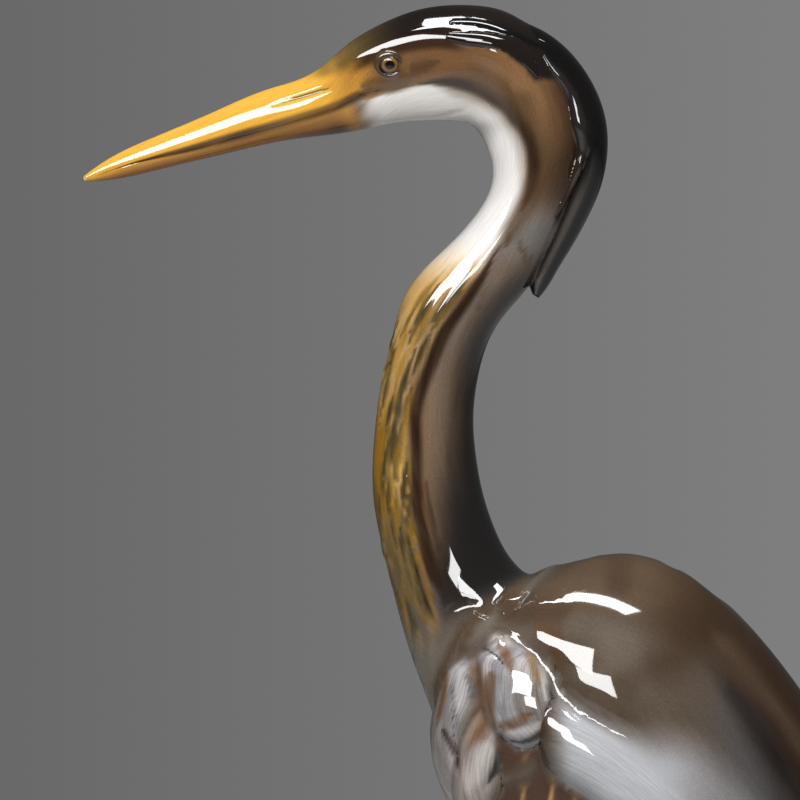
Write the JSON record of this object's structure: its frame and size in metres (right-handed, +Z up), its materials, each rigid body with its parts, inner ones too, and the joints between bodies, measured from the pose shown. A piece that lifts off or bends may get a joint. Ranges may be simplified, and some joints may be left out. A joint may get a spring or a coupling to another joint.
{
  "type": "heron figurine",
  "caption": "Glazed porcelain heron standing upright among reed leaves on a low oval mound, bill to the front, crest plume down its nape.",
  "frame": {"origin": "on the ground under the middle of the whole figure", "axes": "+Z up; the bill points to -X; the bird's left side faces -Y"},
  "size_m": [0.2456, 0.1, 0.421],
  "materials": {
    "painted_porcelain": "clear gloss glaze over sprayed and brushed underglaze colours: ochre bill, black crown and crest, white throat, brown and grey body"
  },
  "bodies": {
    "root": {"heron_figurine": "painted_porcelain"}
  },
  "joints": []
}
